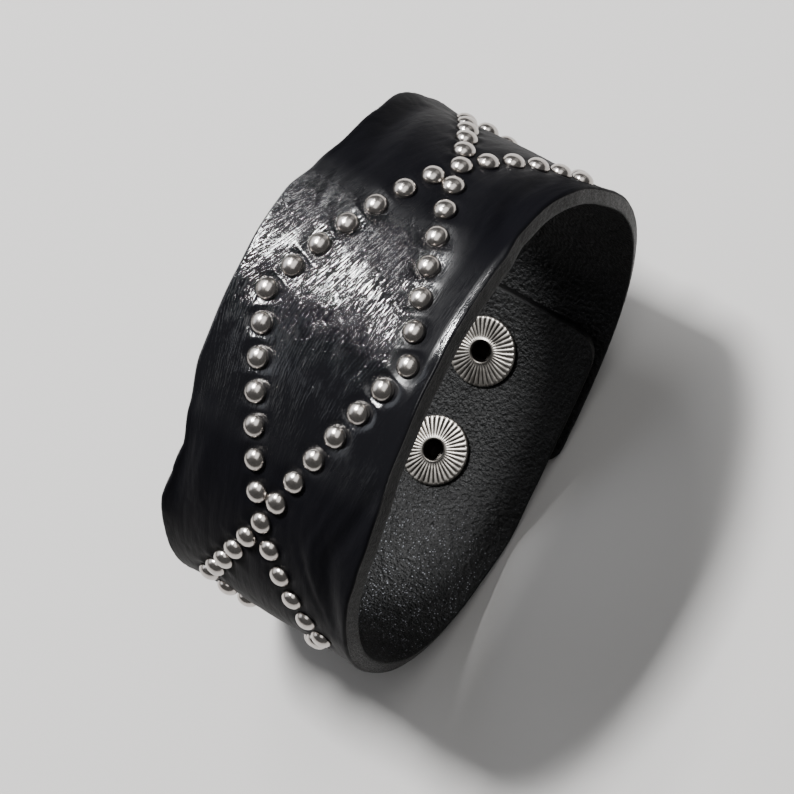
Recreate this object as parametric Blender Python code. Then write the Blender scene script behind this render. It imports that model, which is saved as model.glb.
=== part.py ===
"""Studded leather cuff bracelet with a snap closure, lying on its back. Metres, +Z up.

The strap is bent into an oval loop. Its axis, where the wrist goes in, is Y, and the studded front faces up.
The loop is first drawn upright about its own middle. A walk along its outer face starts at the lowest point
and goes towards -X, over the front and back, so each place on the strap is a distance walked. The finished
loop is then leaned over until the cap of the snap and the leather both touch the surface.
"""
import math
from collections import namedtuple

import bmesh
import bpy
import numpy as np
from mathutils import Matrix, Vector

# Loop, measured over the outer face of the leather
LOOP_LENGTH = 0.0695
FRONT_RISE = 0.0302
BACK_DROP = 0.0252
FRONT_FULLNESS = 2.08
BACK_FULLNESS = 2.39
FRONT_SHIFT = 0.0014

# Strap
BAND_WIDTH = 0.0305
LEATHER = 0.0020
EDGE_BEVEL = 0.0008
INNER_CORNER_RADIUS = 0.0040
OUTER_CORNER_RADIUS = 0.0026
REST_FLAT = 0.0004
STEEPEST_LEAN = math.radians(40)

# Closure: places are distances walked from the loop's lowest point
POST_PLACE = -0.0077
POST_PITCH = 0.0160
INNER_END_MARGIN = 0.0094
OUTER_END_MARGIN = 0.0104
LAYER_GAP = 0.0016
LAYER_RAMP = 0.0380
END_TUCK = 0.0003
SEAT_GAP = 0.0003

# Snap
BASE_RADIUS = 0.0050
BASE_THICKNESS = 0.0008
COLLAR_RADIUS = 0.0023
FLUTES = 28
FLUTE_DEPTH = 0.00022
FLUTE_START_RADIUS = 0.0044
BARREL_RADIUS = 0.0019
THROUGH_RADIUS = 0.0014
HEAD_RADIUS = 0.0026
HEAD_THICKNESS = 0.0004
CAP_RADIUS = 0.0056
CAP_THICKNESS = 0.0009
CAP_FLAT_RADIUS = 0.0040
SOCKET_RADIUS = 0.0040
SOCKET_PLATE = 0.0003
ROUND_SIDES = 32

# Studs
STUD_RADIUS = 0.00145
STUD_HEIGHT = 0.00115
STUD_SIDES = 10
DOME_LEVELS = (0.0, 0.42, 0.74)
ROW_VALLEY_DEPTH = 0.00022
ROW_VALLEY_WIDTH = 0.0032
PATTERN_PLACE = 0.0062
PATTERN_SIDE = -0.0008
DIAMOND_STEPS = 7
DIAMOND_ALONG = 0.0040
DIAMOND_REACH = 0.70 * BAND_WIDTH / 2
KITE_STEPS = 5
KITE_ALONG = 0.0036
KITE_REACH = 0.597 * BAND_WIDTH / 2
RETURN_STEPS = 2
RETURN_SLOPE = math.radians(25)
RETURN_PITCH = 0.0042

# Fineness of the meshes
OUTLINE_STEPS = 1440
SECTION_STEP = 0.0023
END_SECTIONS = 4
TANGENT_STEP = 0.0005
LEAN_SAMPLES = 40
LEAN_HALVINGS = 40
SHARP_ANGLE = math.radians(35)
GRAIN_COLUMNS = (
    -1.0, -0.92, -0.81, -0.67, -0.50, -0.32, -0.14, 0.04, 0.22, 0.40, 0.57, 0.72, 0.84, 0.93, 1.0)
FLESH_COLUMNS = (1.0, 0.70, 0.35, 0.0, -0.35, -0.70, -1.0)

# Rims. along: share of the loop's round from the middle of the pattern, + towards +X. Widths: share of half
# the band's width, added at each rim. Lifts: share of the leather's thickness by which the rim flares out.
Rim = namedtuple("Rim", "along near_width near_lift far_width far_lift")
RIMS = (
    Rim(-0.50, 0.00, 0.35, 0.00, 0.35),
    Rim(-0.46, 0.00, 0.90, 0.00, 0.90),
    Rim(-0.42, 0.00, 0.40, 0.00, 0.40),
    Rim(-0.34, 0.00, 0.20, -0.02, 0.10),
    Rim(-0.26, 0.00, 0.10, -0.02, 0.10),
    Rim(-0.20, 0.03, 0.25, -0.02, 0.15),
    Rim(-0.165, 0.04, 0.30, -0.02, 0.35),
    Rim(-0.14, 0.06, 0.10, -0.07, 0.10),
    Rim(-0.115, 0.08, 0.00, -0.115, -0.15),
    Rim(-0.09, 0.08, 0.00, -0.085, -0.10),
    Rim(-0.055, 0.06, 0.05, -0.025, 0.10),
    Rim(0.00, 0.03, 0.10, 0.00, 0.15),
    Rim(0.035, 0.01, 0.15, 0.02, 0.10),
    Rim(0.06, 0.00, 0.10, 0.02, 0.05),
    Rim(0.085, -0.01, 0.10, -0.05, 0.10),
    Rim(0.11, -0.05, 0.35, -0.09, 0.50),
    Rim(0.145, -0.07, 0.35, -0.07, 0.50),
    Rim(0.185, -0.05, 0.35, 0.00, 0.50),
    Rim(0.23, -0.02, 0.20, 0.00, 0.25),
    Rim(0.30, 0.00, 0.10, 0.00, 0.10),
    Rim(0.42, 0.00, 0.05, 0.00, 0.05),
    Rim(0.46, 0.00, 0.05, 0.00, 0.05),
    Rim(0.50, 0.00, 0.35, 0.00, 0.35),
)
RIM_REACH = 0.30
WIDENING_POWER = 3

# Folds and dents of the outer face. along: share of the loop's round from the middle of the pattern, across:
# share of half the band's width, + is the far rim. width: share of half the band's width. depth: share of
# the leather's thickness, - for a ridge.
Fold = namedtuple("Fold", "along_start across_start along_end across_end width depth")
FOLD_TAIL = 0.35
FOLDS = (
    Fold(0.105, 0.60, 0.190, 0.78, 0.085, 0.30),
    Fold(0.115, 0.40, 0.175, 0.55, 0.100, -0.14),
    Fold(0.100, -0.76, 0.130, -0.64, 0.080, 0.28),
    Fold(0.130, -0.64, 0.190, -0.62, 0.080, 0.28),
    Fold(0.110, -0.45, 0.170, -0.38, 0.100, -0.14),
    Fold(-0.105, 0.76, -0.165, 0.84, 0.080, 0.30),
    Fold(-0.090, 0.60, -0.150, 0.60, 0.100, -0.12),
    Fold(-0.075, -1.00, -0.140, -0.74, 0.080, 0.26),
    Fold(-0.130, -0.70, -0.200, -0.90, 0.080, 0.26),
    Fold(-0.110, -0.55, -0.180, -0.62, 0.100, -0.14),
    Fold(-0.060, -0.10, -0.020, 0.25, 0.160, -0.10),
    Fold(0.020, -0.25, 0.060, 0.20, 0.160, -0.10),
)

Finish = namedtuple("Finish", "colour roughness metallic")
BLACK_LEATHER = Finish((0.012, 0.012, 0.014, 1.0), 0.42, 0.0)
DARK_NICKEL = Finish((0.30, 0.29, 0.28, 1.0), 0.22, 1.0)
PALE_NICKEL = Finish((0.55, 0.54, 0.51, 1.0), 0.34, 1.0)


def signed_power(value, exponent):
    """A power that keeps the sign of its base."""
    return math.copysign(abs(value) ** exponent, value)


def make_outline():
    """Corners of the loop's outer face and the distance walked to each, once round."""
    corners = []
    for step in range(OUTLINE_STEPS + 1):
        turn = 2 * math.pi * step / OUTLINE_STEPS
        across, up = -math.sin(turn), -math.cos(turn)
        rise, fullness = (FRONT_RISE, FRONT_FULLNESS) if up > 0 else (BACK_DROP, BACK_FULLNESS)
        z = rise * signed_power(up, 2 / fullness)
        x = LOOP_LENGTH / 2 * signed_power(across, 2 / fullness) + FRONT_SHIFT * z / FRONT_RISE
        corners.append((x, z))
    corners = np.array(corners)
    steps = np.hypot(*np.diff(corners, axis=0).T)
    return corners, np.concatenate([[0.0], np.cumsum(steps)])


OUTLINE, WALKED = make_outline()
ROUND = WALKED[-1]
FRONT_MIDDLE = np.interp(OUTLINE_STEPS / 2, np.arange(OUTLINE_STEPS + 1), WALKED)
PATTERN_MIDDLE = FRONT_MIDDLE + PATTERN_PLACE
INNER_END = POST_PLACE - INNER_END_MARGIN
OUTER_END = ROUND + POST_PLACE + OUTER_END_MARGIN


def on_outline(walked):
    """Point of the loop's outer face after a walked distance."""
    walked = walked % ROUND
    return np.array([np.interp(walked, WALKED, OUTLINE[:, 0]), np.interp(walked, WALKED, OUTLINE[:, 1])])


def normal_to(before, after):
    """Unit normal of a short step along the loop, away from the wrist."""
    tangent = (after - before) / np.hypot(*(after - before))
    return np.array([-tangent[1], tangent[0]])


def smooth(value):
    """Smooth step from 0 to 1."""
    value = min(max(value, 0.0), 1.0)
    return value * value * (3 - 2 * value)


def layer_offset(walked):
    """How far the strap has moved out to pass under its inner end, which it nears again beyond the cap."""
    clear = ROUND + INNER_END - SEAT_GAP
    tuck_start = ROUND + POST_PLACE + CAP_RADIUS
    tucked = END_TUCK * smooth((walked - tuck_start) / (OUTER_END - tuck_start))
    return (LEATHER + LAYER_GAP) * smooth((walked - clear + LAYER_RAMP) / LAYER_RAMP) - tucked


def on_strap(walked):
    """Point of the strap's own outer face, and the unit normal there, after a walked distance."""
    places = [walked + step * TANGENT_STEP for step in (-2, -1, 0, 1, 2)]
    outline = [on_outline(place) for place in places]
    before, middle, after = (
        outline[i] + normal_to(outline[i - 1], outline[i + 1]) * layer_offset(places[i]) for i in (1, 2, 3))
    return middle, normal_to(before, after)


def end_inset(walked):
    """How far the rims pull in at the rounded corners of the two ends."""
    if walked < FRONT_MIDDLE:
        radius, from_end = INNER_CORNER_RADIUS, walked - INNER_END
    else:
        radius, from_end = OUTER_CORNER_RADIUS, OUTER_END - walked
    if from_end >= radius:
        return 0.0
    return radius - math.sqrt(max(radius ** 2 - (radius - from_end) ** 2, 0.0))


def rim_row(walked):
    """The rims' widths and lifts at a walked distance, eased between the rows of the table."""
    along = (walked - PATTERN_MIDDLE) / ROUND
    along = (along + 0.5) % 1.0 - 0.5
    for low, high in zip(RIMS, RIMS[1:]):
        if along <= high.along:
            mix = smooth((along - low.along) / (high.along - low.along))
            return Rim(*(a + (b - a) * mix for a, b in zip(low, high)))
    return RIMS[-1]


def stud_places():
    """Walked distance and side of every stud: a diamond of crossing lines and a kite at each end."""
    places = []
    for step in range(-DIAMOND_STEPS, DIAMOND_STEPS + 1):
        side = DIAMOND_REACH * (1 - abs(step) / DIAMOND_STEPS)
        places.append((step * DIAMOND_ALONG, side))
        if abs(step) < DIAMOND_STEPS:
            places.append((step * DIAMOND_ALONG, -side))
    crossing = DIAMOND_STEPS * DIAMOND_ALONG
    return_along = RETURN_PITCH * math.cos(RETURN_SLOPE)
    return_across = RETURN_PITCH * math.sin(RETURN_SLOPE)
    for end in (-1, 1):
        for step in range(1, KITE_STEPS + RETURN_STEPS + 1):
            out = min(step, KITE_STEPS)
            back = step - out
            along = crossing + out * KITE_ALONG + back * return_along
            side = KITE_REACH * out / KITE_STEPS - back * return_across
            places += [(end * along, side), (end * along, -side)]
    return [(PATTERN_MIDDLE + along, PATTERN_SIDE + side) for along, side in places]


STUDS = stud_places()


def fold_depth(walked, side):
    """Depth of the folds and dents in the outer face, less for ridges."""
    half = BAND_WIDTH / 2
    place = np.array([walked - PATTERN_MIDDLE, side])
    depth = 0.0
    for fold in FOLDS:
        start = np.array([fold.along_start * ROUND, fold.across_start * half])
        line = np.array([fold.along_end * ROUND, fold.across_end * half]) - start
        share = min(max(np.dot(place - start, line) / np.dot(line, line), 0.0), 1.0)
        gap = math.hypot(*(place - start - share * line)) / (fold.width * half)
        swell = FOLD_TAIL + (1 - FOLD_TAIL) * math.sin(math.pi * share)
        depth += fold.depth * LEATHER * swell * math.exp(-gap * gap)
    return depth


def valley_depth(walked, side):
    """Depth of the soft valley that the rows of studs pull into the leather."""
    nearest = min(math.hypot(walked - place, side - stud_side) for place, stud_side in STUDS)
    return ROW_VALLEY_DEPTH * math.exp(-(nearest / ROW_VALLEY_WIDTH) ** 2)


def relief(walked, side):
    """Height of the outer face over its smooth form."""
    return rim_lift(walked, side) - fold_depth(walked, side) - valley_depth(walked, side)


def rim_lift(walked, side):
    """How far the leather flares out or droops near its two rims."""
    row = rim_row(walked)
    half = BAND_WIDTH / 2
    share = abs(side) / half
    reach = smooth((share - 1 + RIM_REACH) / RIM_REACH)
    return (row.far_lift if side > 0 else row.near_lift) * LEATHER * reach


def rim_side(walked, share, inset):
    """Place across the band of a share of its half width, rims and end corners counted in."""
    row = rim_row(walked)
    widening = row.far_width if share > 0 else row.near_width
    half = BAND_WIDTH / 2 * (1 + widening * abs(share) ** WIDENING_POWER) - inset - end_inset(walked)
    return share * half


def leather_section(walked):
    """Closed ring of points round the strap at a walked distance: outer face, then inner face."""
    middle, normal = on_strap(walked)
    ring = []
    for share in GRAIN_COLUMNS:
        side = rim_side(walked, share, EDGE_BEVEL)
        ring.append((middle + normal * relief(walked, side), side))
    for share in FLESH_COLUMNS:
        side = rim_side(walked, share, 0.0)
        ring.append((middle + normal * (rim_lift(walked, side) - LEATHER), side))
    return [Vector((point[0], side, point[1])) for point, side in ring]


def seat_frame(walked, out, side=0.0):
    """Frame on the strap whose Z points away from the wrist, at a height over the outer face."""
    point, normal = on_strap(walked)
    out_axis = Vector((normal[0], 0.0, normal[1]))
    side_axis = Vector((0.0, 1.0, 0.0))
    frame = Matrix((side_axis.cross(out_axis), side_axis, out_axis)).transposed().to_4x4()
    frame.translation = Vector((point[0], side, point[1])) + out_axis * out
    return frame


def turned(profile, sides, ripple=None, through=True):
    """Solid turned round Z from (radius, height) pairs, with a hole through it or flat at both ends."""
    mesh = bmesh.new()
    rings = []
    for index, (radius, height) in enumerate(profile):
        ring = []
        for step in range(sides):
            angle = 2 * math.pi * step / sides
            low = ripple[index] if ripple and step % 2 else 0.0
            ring.append(mesh.verts.new((radius * math.cos(angle), radius * math.sin(angle), height - low)))
        rings.append(ring)
    for ring, after in zip(rings, rings[1:] + (rings[:1] if through else [])):
        for step in range(sides):
            ahead = (step + 1) % sides
            mesh.faces.new((ring[step], ring[ahead], after[ahead], after[step]))
    if not through:
        mesh.faces.new(rings[0])
        mesh.faces.new(rings[-1])
    return mesh


def add_object(name, mesh, material, frame=None):
    """New object of the scene from a bmesh, its faces pointing outwards."""
    bmesh.ops.recalc_face_normals(mesh, faces=mesh.faces)
    data = bpy.data.meshes.new(name)
    mesh.to_mesh(data)
    mesh.free()
    data.shade_smooth()
    data.set_sharp_from_angle(angle=SHARP_ANGLE)
    return place_object(name, data, material, frame)


def place_object(name, data, material, frame=None):
    """New object that shows a mesh, with its material, at a frame."""
    item = bpy.data.objects.new(name, data)
    if not data.materials:
        data.materials.append(material)
    if frame is not None:
        item.matrix_world = frame
    bpy.context.scene.collection.objects.link(item)
    return item


def make_material(name, finish):
    """Principled material of one piece."""
    material = bpy.data.materials.new(name)
    material.use_nodes = True
    shader = material.node_tree.nodes["Principled BSDF"]
    shader.inputs["Base Color"].default_value = finish.colour
    shader.inputs["Roughness"].default_value = finish.roughness
    shader.inputs["Metallic"].default_value = finish.metallic
    return material


def section_places():
    """Walked distances of the strap's sections: even along the strap, closer at its rounded ends."""
    shares = [1 - math.cos(math.pi / 2 * i / END_SECTIONS) for i in range(END_SECTIONS)]
    inner = [INNER_END + INNER_CORNER_RADIUS * share for share in shares]
    outer = [OUTER_END - OUTER_CORNER_RADIUS * share for share in reversed(shares)]
    first, last = INNER_END + INNER_CORNER_RADIUS, OUTER_END - OUTER_CORNER_RADIUS
    count = max(round((last - first) / SECTION_STEP), 1)
    return inner + [first + (last - first) * i / count for i in range(count + 1)] + outer


def make_band(material):
    """The leather strap as one lofted solid, with its snap holes cut."""
    mesh = bmesh.new()
    rings = [[mesh.verts.new(point) for point in leather_section(walked)] for walked in section_places()]
    size = len(rings[0])
    for ring, after in zip(rings, rings[1:]):
        for step in range(size):
            ahead = (step + 1) % size
            mesh.faces.new((ring[step], ring[ahead], after[ahead], after[step]))
    grain = len(GRAIN_COLUMNS)
    for ring in (rings[0], rings[-1]):
        cap_end(mesh, ring[:grain], ring[grain:])
    bmesh.ops.triangulate(mesh, faces=mesh.faces)
    band = add_object("leather_band", mesh, material)
    holes = (
        ("hole_fastened", POST_PLACE, 0.0),
        ("hole_spare", POST_PLACE + POST_PITCH, 0.0),
        ("hole_cap", POST_PLACE, LEATHER + LAYER_GAP),
    )
    for name, walked, out in holes:
        cut_hole(band, name, seat_frame(walked, out - LEATHER / 2))
    return band


def cap_end(mesh, grain, flesh):
    """Close one end of the strap between its outer row and its inner row of points."""
    flesh = list(reversed(flesh))
    across = {point: point.co.y for point in grain + flesh}
    low, high = 0, 0
    while low < len(grain) - 1 or high < len(flesh) - 1:
        take_grain = high == len(flesh) - 1 or (
            low < len(grain) - 1 and across[grain[low + 1]] <= across[flesh[high + 1]])
        if take_grain:
            mesh.faces.new((grain[low], grain[low + 1], flesh[high]))
            low += 1
        else:
            mesh.faces.new((grain[low], flesh[high + 1], flesh[high]))
            high += 1


def cut_hole(band, name, frame):
    """Cut a round hole for a snap barrel through one layer of the strap."""
    cutter_mesh = bmesh.new()
    bmesh.ops.create_cone(
        cutter_mesh, cap_ends=True, segments=ROUND_SIDES // 2, radius1=BARREL_RADIUS + SEAT_GAP,
        radius2=BARREL_RADIUS + SEAT_GAP, depth=LEATHER + LAYER_GAP)
    cutter = add_object(name, cutter_mesh, band.data.materials[0], frame)
    cutter.hide_render = True
    cutter.display_type = "WIRE"
    cut = band.modifiers.new(name, "BOOLEAN")
    cut.object = cutter
    cut.operation = "DIFFERENCE"
    cut.solver = "EXACT"


def make_stud_mesh():
    """Domed stud on a flat base, its base on Z = 0."""
    mesh = bmesh.new()
    rings = []
    for share in DOME_LEVELS:
        rise = math.sin(math.pi / 2 * share)
        radius = STUD_RADIUS * math.cos(math.pi / 2 * share)
        ring = []
        for step in range(STUD_SIDES):
            angle = 2 * math.pi * step / STUD_SIDES
            corner = (radius * math.cos(angle), radius * math.sin(angle), STUD_HEIGHT * rise)
            ring.append(mesh.verts.new(corner))
        rings.append(ring)
    for ring, after in zip(rings, rings[1:]):
        for step in range(STUD_SIDES):
            ahead = (step + 1) % STUD_SIDES
            mesh.faces.new((ring[step], ring[ahead], after[ahead], after[step]))
    top = mesh.verts.new((0.0, 0.0, STUD_HEIGHT))
    for step in range(STUD_SIDES):
        mesh.faces.new((rings[-1][step], rings[-1][(step + 1) % STUD_SIDES], top))
    mesh.faces.new(list(reversed(rings[0])))
    return mesh


def make_studs(material):
    """Every stud of the pattern, seated just over the leather."""
    data = None
    for number, (walked, side) in enumerate(STUDS, start=1):
        name = f"stud_{number:02d}"
        frame = seat_frame(walked, relief(walked, side) + SEAT_GAP, side)
        if data is None:
            data = add_object(name, make_stud_mesh(), material, frame).data
        else:
            place_object(name, data, material, frame)


def make_post(name, walked, material):
    """Snap post: fluted base inside the loop, barrel through the leather and head outside it."""
    inner_face = -LEATHER - SEAT_GAP
    base_back = inner_face - BASE_THICKNESS
    head_start = SEAT_GAP
    head_end = head_start + HEAD_THICKNESS
    profile = [
        (THROUGH_RADIUS, base_back), (COLLAR_RADIUS, base_back),
        (FLUTE_START_RADIUS, base_back + FLUTE_DEPTH), (BASE_RADIUS, base_back + 2 * FLUTE_DEPTH),
        (BASE_RADIUS, inner_face), (BARREL_RADIUS, inner_face),
        (BARREL_RADIUS, head_start), (HEAD_RADIUS, head_start),
        (HEAD_RADIUS, head_end), (THROUGH_RADIUS, head_end),
    ]
    ripple = [0.0] * len(profile)
    ripple[2] = ripple[3] = -FLUTE_DEPTH
    add_object(name, turned(profile, 2 * FLUTES, ripple), material, seat_frame(walked, 0.0))


def make_cap(material):
    """Cap outside the outer layer, its barrel through the leather and its socket round the post's head."""
    outer_face = LEATHER + LAYER_GAP + SEAT_GAP
    inside = LAYER_GAP - SEAT_GAP
    plate_top = inside - SOCKET_PLATE
    head_end = SEAT_GAP + HEAD_THICKNESS
    ring_inner = HEAD_RADIUS + SEAT_GAP
    ring_top = head_end - HEAD_THICKNESS / 2
    profile = [
        (ring_inner, plate_top), (ring_inner, ring_top), (SOCKET_RADIUS, ring_top), (SOCKET_RADIUS, inside),
        (BARREL_RADIUS, inside), (BARREL_RADIUS, outer_face), (CAP_RADIUS, outer_face),
        (CAP_RADIUS, outer_face + CAP_THICKNESS / 2), (CAP_FLAT_RADIUS, outer_face + CAP_THICKNESS),
    ]
    add_object("snap_cap", turned(profile, ROUND_SIDES, through=False), material, seat_frame(POST_PLACE, 0.0))


def leaned_height(point, lean):
    """Height of a point when the loop leans, its +X side raised."""
    return point.x * math.sin(lean) + point.z * math.cos(lean)


def cap_edge():
    """The two edge points of the cap that can touch the surface, on the side of the loop's lowest point."""
    frame = seat_frame(POST_PLACE, LEATHER + LAYER_GAP + SEAT_GAP)
    rims = ((CAP_RADIUS, CAP_THICKNESS / 2), (CAP_FLAT_RADIUS, CAP_THICKNESS))
    return [frame @ Vector((sign * radius, 0.0, height)) for radius, height in rims for sign in (-1, 1)]


def resting_lean():
    """The lean at which the cap and the pressed leather beyond the spare post stand on one level."""
    places = [ROUND / 4 * step / LEAN_SAMPLES for step in range(LEAN_SAMPLES)]
    quarter = [point for place in places for point in leather_section(place)]
    edge = cap_edge()
    low, high = 0.0, STEEPEST_LEAN
    for _ in range(LEAN_HALVINGS):
        lean = (low + high) / 2
        leather = min(leaned_height(point, lean) for point in quarter) + REST_FLAT
        if min(leaned_height(point, lean) for point in edge) < leather:
            low = lean
        else:
            high = lean
    return low


def set_down(band):
    """Lean the loop, stand it on Z = 0 with its middle over the origin and press the leather flat there."""
    bpy.context.view_layer.update()
    lean = resting_lean()
    turn = Matrix.Rotation(-lean, 4, "Y")
    items = list(bpy.data.objects)
    shown = [item for item in items if not item.hide_render]
    corners = [turn @ item.matrix_world @ vertex.co for item in shown for vertex in item.data.vertices]
    middle = [sum(reach(point[axis] for point in corners) for reach in (min, max)) / 2 for axis in (0, 1)]
    ground = min(leaned_height(point, lean) for point in cap_edge())
    move = Matrix.Translation((-middle[0], -middle[1], -ground)) @ turn
    for item in items:
        if item is not band:
            item.matrix_world = move @ item.matrix_world
    band.data.transform(move)
    for vertex in band.data.vertices:
        vertex.co.z = max(vertex.co.z, 0.0)


def build():
    """Model every piece."""
    for item in list(bpy.data.objects):
        bpy.data.objects.remove(item)
    leather = make_material("black_leather", BLACK_LEATHER)
    stud_metal = make_material("stud_metal", DARK_NICKEL)
    snap_metal = make_material("snap_metal", PALE_NICKEL)
    band = make_band(leather)
    make_studs(stud_metal)
    make_post("snap_post_fastened", POST_PLACE, snap_metal)
    make_post("snap_post_spare", POST_PLACE + POST_PITCH, snap_metal)
    make_cap(snap_metal)
    set_down(band)


build()
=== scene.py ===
import math
import random
from collections import namedtuple

import bmesh
import bpy
import numpy as np
from mathutils import Matrix, Vector, noise


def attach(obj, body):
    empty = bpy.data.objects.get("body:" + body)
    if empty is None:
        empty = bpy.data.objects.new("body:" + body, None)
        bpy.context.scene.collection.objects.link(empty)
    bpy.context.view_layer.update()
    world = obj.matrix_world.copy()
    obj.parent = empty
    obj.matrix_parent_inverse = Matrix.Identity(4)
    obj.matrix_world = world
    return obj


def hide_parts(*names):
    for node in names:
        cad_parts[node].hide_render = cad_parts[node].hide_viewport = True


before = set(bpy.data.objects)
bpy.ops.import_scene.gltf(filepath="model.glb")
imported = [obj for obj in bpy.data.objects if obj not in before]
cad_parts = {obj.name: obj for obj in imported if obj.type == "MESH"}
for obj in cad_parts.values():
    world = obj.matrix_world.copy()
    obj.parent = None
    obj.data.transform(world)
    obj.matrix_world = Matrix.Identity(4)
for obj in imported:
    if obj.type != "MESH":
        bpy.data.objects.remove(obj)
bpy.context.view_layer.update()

# Millimetres in a metre
MM = 1000

# The loop and the strap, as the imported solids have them. Metres, +Z up. A walk along the outer face starts at
# the lowest point of the upright loop and goes towards -X, over the front and back.
LOOP_LENGTH = 0.0695
FRONT_RISE = 0.0302
BACK_DROP = 0.0252
FRONT_FULLNESS = 2.08
BACK_FULLNESS = 2.39
FRONT_SHIFT = 0.0014
BAND_WIDTH = 0.0305
LEATHER = 0.0020
INNER_CORNER_RADIUS = 0.0040
OUTER_CORNER_RADIUS = 0.0026
POST_PLACE = -0.0077
POST_PITCH = 0.0160
INNER_END_MARGIN = 0.0094
OUTER_END_MARGIN = 0.0104
LAYER_GAP = 0.0016
LAYER_RAMP = 0.0380
END_TUCK = 0.0003
SEAT_GAP = 0.0003
CAP_RADIUS = 0.0056
LEAN = math.radians(15.21525)
LEANED_TO = Vector((-0.000642, 0.000458, 0.028353))
OUTLINE_STEPS = 7200
TANGENT_STEP = 0.0005

# The pattern of studs. The domes are a little wider here than the plain solids.
STUD_RADIUS = 0.00152
STUD_HEIGHT = 0.00115
PATTERN_PLACE = 0.0062
PATTERN_SIDE = -0.0008
DIAMOND_STEPS = 7
DIAMOND_ALONG = 0.0040
DIAMOND_REACH = 0.70 * BAND_WIDTH / 2
KITE_STEPS = 5
KITE_ALONG = 0.0036
KITE_REACH = 0.597 * BAND_WIDTH / 2
RETURN_STEPS = 2
RETURN_SLOPE = math.radians(25)
RETURN_PITCH = 0.0042
RETURN_ALONG = RETURN_PITCH * math.cos(RETURN_SLOPE)
RETURN_ACROSS = RETURN_PITCH * math.sin(RETURN_SLOPE)
ROW_VALLEY_DEPTH = 0.00022
ROW_VALLEY_WIDTH = 0.0032

# Detail of the leather
FINE_STEP = 0.00030
COARSE_STEP = 0.00075
FINE_REACH = 0.061
GRAIN_COLUMNS = 100
FLESH_COLUMNS = 34
GRAIN_RISE = 0.00025
CORNER_ROUND = 0.00045
EDGE_SLANT = 0.00060
RIM_LIP = 0.00003
RIM_LIP_WIDTH = 0.00065
CORNER_STEPS = 4
INNER_ROUND = 0.00022
CUT_STEPS = 3
LINE_GATHER = 0.020
LINE_GATHER_END = 30.0
DIMPLE_DEPTH = 0.00020
DIMPLE_WIDTH = 0.00060
NAP_HEIGHT = 0.00008
CUT_ROUGHNESS = 0.00007
SWELL_HEIGHT = 0.00004
WRINKLE_DEPTH = 0.00006
WRINKLE_SHARPNESS = 4
CREASED_START = 0.008
CREASED_LENGTH = 0.020
LEAST_CREASED = 0.15
END_ROW_SHARES = (0.0, 0.02, 0.08, 0.18, 0.32, 0.5, 0.72)
WIDENING_POWER = 3
FACE_KINDS = {"grain": 0, "edge": 1, "flesh": 2}
HOLE_SIDES = 48
HOLE_PLAY = 0.0003

# Noise in the relief: its size along, its size across and its seed. The swell and the wrinkles are in mm,
# the nap and the cut edge in metres.
SWELL = (9.0, 4.2, 3.1)
WRINKLE = (5.5, 1.3, 9.7)
NAP = (0.0030, 0.0024, 21.3)
CUT = (0.0012, 0.0009, 33.0)

# Rims. along: share of the loop's round from the middle of the pattern, + towards +X. Widths: share of half
# the band's width, added at each rim. Lifts: share of the leather's thickness by which the rim flares out.
Rim = namedtuple("Rim", "along near_width near_lift far_width far_lift")
RIMS = (
    Rim(-0.50, 0.00, 0.35, 0.00, 0.35),
    Rim(-0.46, 0.00, 0.90, 0.00, 0.90),
    Rim(-0.42, 0.00, 0.40, 0.00, 0.40),
    Rim(-0.34, 0.00, 0.20, -0.02, 0.10),
    Rim(-0.26, 0.00, 0.10, -0.02, 0.10),
    Rim(-0.20, 0.03, 0.25, -0.02, 0.15),
    Rim(-0.165, 0.04, 0.30, -0.02, 0.35),
    Rim(-0.14, 0.06, 0.10, -0.07, 0.10),
    Rim(-0.115, 0.08, 0.00, -0.115, -0.15),
    Rim(-0.09, 0.08, 0.00, -0.085, -0.10),
    Rim(-0.055, 0.06, 0.05, -0.025, 0.10),
    Rim(0.00, 0.03, 0.10, 0.00, 0.15),
    Rim(0.035, 0.01, 0.15, 0.02, 0.10),
    Rim(0.06, 0.00, 0.10, 0.02, 0.05),
    Rim(0.085, -0.01, 0.10, -0.05, 0.10),
    Rim(0.11, -0.05, 0.35, -0.09, 0.50),
    Rim(0.145, -0.07, 0.35, -0.07, 0.50),
    Rim(0.185, -0.05, 0.35, 0.00, 0.50),
    Rim(0.23, -0.02, 0.20, 0.00, 0.25),
    Rim(0.30, 0.00, 0.10, 0.00, 0.10),
    Rim(0.42, 0.00, 0.05, 0.00, 0.05),
    Rim(0.46, 0.00, 0.05, 0.00, 0.05),
    Rim(0.50, 0.00, 0.35, 0.00, 0.35),
)
RIM_REACH = 0.30

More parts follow.
